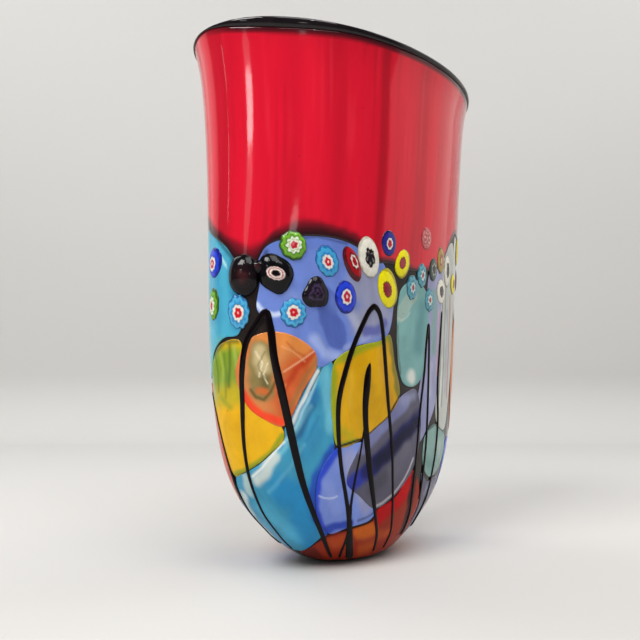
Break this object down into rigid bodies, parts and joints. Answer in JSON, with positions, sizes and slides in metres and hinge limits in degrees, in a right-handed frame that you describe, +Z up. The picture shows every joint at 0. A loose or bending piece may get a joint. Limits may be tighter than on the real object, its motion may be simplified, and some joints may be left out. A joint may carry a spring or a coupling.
{
  "type": "hand-blown art glass vase",
  "caption": "Oval hand-blown glass vase with a flared mouth, red overlay, coloured glass shards, cane slices and trailed black threads.",
  "frame": {"origin": "centre of the ground foot, on the surface the vase stands on", "axes": "+Z up through the mouth; +X along the broad width of the oval; -Y is the decorated front"},
  "size_m": [0.2148, 0.13, 0.3],
  "materials": {
    "black_glass": "glossy",
    "lip_glass": "glossy",
    "thread_glass": "glossy",
    "red_glass": "glossy",
    "amber_glass": "glossy",
    "gold_glass": "glossy",
    "periwinkle_glass": "glossy",
    "pale_teal_glass": "glossy",
    "lime_gold_glass": "glossy",
    "turquoise_glass": "glossy",
    "indigo_glass": "glossy",
    "cobalt_glass": "glossy",
    "aqua_glass": "glossy",
    "red_orange_glass": "glossy",
    "red_band_glass": "glossy",
    "lilac_glass": "glossy",
    "ivory_glass": "glossy",
    "amber_back_glass": "glossy",
    "aqua_back_glass": "glossy",
    "gold_back_glass": "glossy",
    "periwinkle_back_glass": "glossy",
    "turquoise_back_glass": "glossy",
    "murrine_blue": "glossy",
    "murrine_green": "glossy",
    "murrine_black": "glossy",
    "murrine_sky_blue": "glossy",
    "murrine_red": "glossy",
    "murrine_white": "glossy",
    "murrine_yellow": "glossy",
    "murrine_pink": "glossy",
    "murrine_teal": "glossy",
    "murrine_grey": "glossy"
  },
  "bodies": {
    "root": {"vessel_body": "black_glass", "red_overlay": "red_glass", "lip_wrap": "lip_glass", "shard_amber_disc": "amber_glass", "shard_gold": "gold_glass", "shard_periwinkle": "periwinkle_glass", "shard_pale_teal": "pale_teal_glass", "shard_lime_gold": "lime_gold_glass", "shard_turquoise": "turquoise_glass", "shard_indigo": "indigo_glass", "shard_cobalt": "cobalt_glass", "shard_aqua": "aqua_glass", "shard_red_strip": "red_orange_glass", "shard_red_band": "red_band_glass", "shard_lilac": "lilac_glass", "shard_ivory": "ivory_glass", "shard_teal_low": "pale_teal_glass", "shard_indigo_low": "indigo_glass", "shard_amber_back": "amber_back_glass", "shard_aqua_back": "aqua_back_glass", "shard_gold_back": "gold_back_glass", "shard_periwinkle_back": "periwinkle_back_glass", "shard_turquoise_back": "turquoise_back_glass", "thread_1": "thread_glass", "thread_2": "thread_glass", "thread_3": "thread_glass", "thread_4": "thread_glass", "thread_5": "thread_glass", "thread_6": "thread_glass", "thread_7": "thread_glass", "thread_8": "thread_glass", "murrine_cobalt_left": "murrine_blue", "murrine_green_left": "murrine_green", "murrine_black_lump": "murrine_black", "murrine_black_eye": "murrine_black", "murrine_green_flower": "murrine_green", "murrine_sky": "murrine_sky_blue", "murrine_crimson": "murrine_red", "murrine_white_dot": "murrine_white", "murrine_navy": "murrine_blue", "murrine_yellow_small": "murrine_yellow", "murrine_yellow_large": "murrine_yellow", "murrine_royal": "murrine_blue", "murrine_plum": "murrine_black", "murrine_flower_right": "murrine_sky_blue", "murrine_flower_left": "murrine_sky_blue", "murrine_rose": "murrine_pink", "murrine_teal_flower": "murrine_teal", "murrine_teal_small": "murrine_teal", "murrine_teal_low": "murrine_teal", "murrine_moss": "murrine_grey", "murrine_saffron": "murrine_yellow", "murrine_white_tall": "murrine_white", "murrine_white_low": "murrine_white", "murrine_yellow_side": "murrine_yellow", "murrine_yellow_end": "murrine_yellow", "murrine_back_1": "murrine_blue", "murrine_back_2": "murrine_yellow", "murrine_back_3": "murrine_sky_blue", "murrine_back_4": "murrine_green"}
  },
  "joints": []
}
